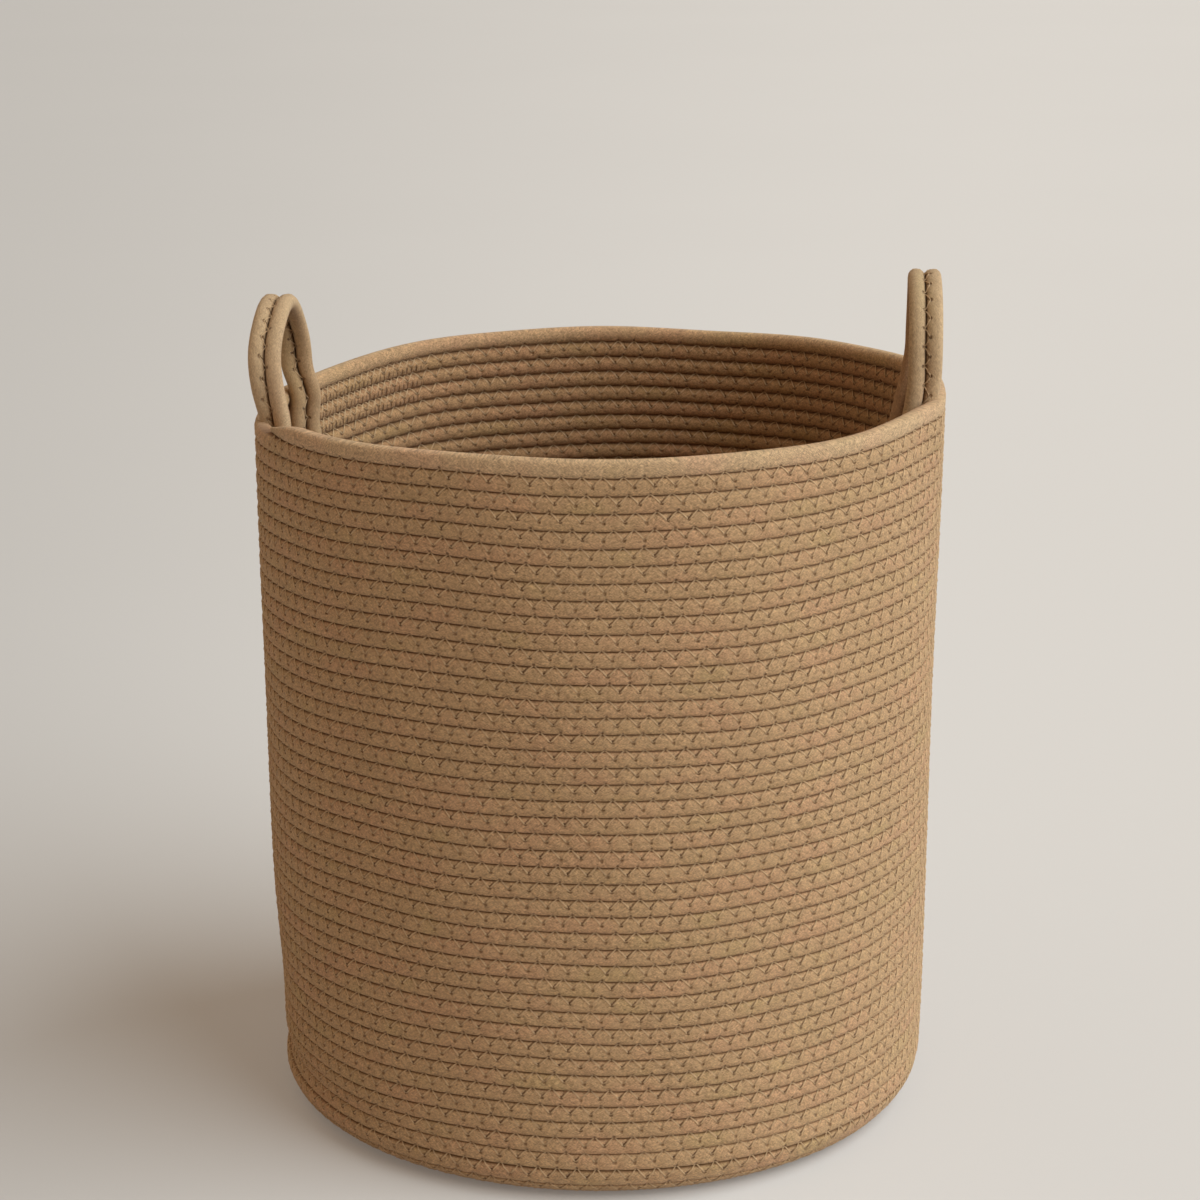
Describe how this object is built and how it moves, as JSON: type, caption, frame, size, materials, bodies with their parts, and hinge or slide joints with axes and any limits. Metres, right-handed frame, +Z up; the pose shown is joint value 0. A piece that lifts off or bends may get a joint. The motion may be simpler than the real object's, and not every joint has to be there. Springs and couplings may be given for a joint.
{
  "type": "coiled rope laundry basket",
  "caption": "Tall round open laundry basket of coiled, sewn cotton rope with a flat base and two upright rope loop handles.",
  "frame": {"origin": "on the floor at the centre of the basket's base", "axes": "+Z up; the two handles stand on the X axis, left handle on -X, right handle on +X; -Y is the front"},
  "size_m": [0.3758, 0.3759, 0.4661],
  "materials": {
    "basket_rope": "dyed cotton rope cover, matte, fine ribs",
    "handle_rope": "dyed cotton rope cover, matte, fine ribs",
    "thread": "spun sewing thread in the rope's colour, matte"
  },
  "bodies": {
    "basket": {"rim_lap": "basket_rope", "wall_coil": "basket_rope", "turn_up_coil": "basket_rope", "base_coil": "basket_rope", "wall_outer_stitching": "thread", "wall_inner_stitching": "thread", "base_under_stitching": "thread", "base_top_stitching": "thread", "left_handle_near_foot_outer_rope": "handle_rope", "left_handle_near_foot_inner_rope": "handle_rope", "left_handle_near_foot_stitching": "thread", "left_handle_far_foot_outer_rope": "handle_rope", "left_handle_far_foot_inner_rope": "handle_rope", "left_handle_far_foot_stitching": "thread", "right_handle_near_foot_outer_rope": "handle_rope", "right_handle_near_foot_inner_rope": "handle_rope", "right_handle_near_foot_stitching": "thread", "right_handle_far_foot_outer_rope": "handle_rope", "right_handle_far_foot_inner_rope": "handle_rope", "right_handle_far_foot_stitching": "thread"},
    "left_loop": {"left_handle_outer_rope": "handle_rope", "left_handle_inner_rope": "handle_rope", "left_handle_stitching": "thread"},
    "right_loop": {"right_handle_outer_rope": "handle_rope", "right_handle_inner_rope": "handle_rope", "right_handle_stitching": "thread"}
  },
  "joints": [
    {"name": "left_handle_flex", "type": "hinge", "parent": "basket", "child": "left_loop", "pos_m": [-0.1648, 0, 0.408], "axis": [0, -1, 0], "range_deg": [-70, 65], "stiffness_Nm_per_rad": 0.12},
    {"name": "right_handle_flex", "type": "hinge", "parent": "basket", "child": "right_loop", "pos_m": [0.1648, 0, 0.408], "axis": [0, 1, 0], "range_deg": [-70, 65], "stiffness_Nm_per_rad": 0.12}
  ]
}
